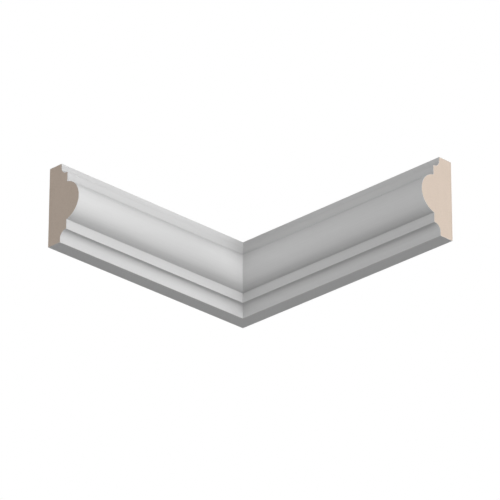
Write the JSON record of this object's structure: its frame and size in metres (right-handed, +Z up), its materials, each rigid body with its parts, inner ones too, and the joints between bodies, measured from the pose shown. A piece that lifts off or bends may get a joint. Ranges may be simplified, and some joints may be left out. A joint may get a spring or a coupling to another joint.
{
  "type": "decorative moulding",
  "caption": "Inside corner of a primed bead moulding, mitred where the walls meet: flat back, coved edges, flat fascias and a bold round bead, with raw board showing at the square ends.",
  "frame": {"origin": "middle of the footprint's bounding rectangle, on the underside; the corner of the walls is at -X, +Y", "axes": "+X along the right length, away from the corner, +Y out of the right length's back into its wall, +Z up"},
  "size_m": [0.27, 0.25, 0.08],
  "materials": {
    "white_primer": "smooth matte white primer on fibreboard, no grain showing",
    "raw_board": "bare sawn fibreboard, matte, at the square ends, the mitre and the back"
  },
  "bodies": {
    "root": {"left_length": "white_primer", "right_length": "white_primer"}
  },
  "joints": []
}
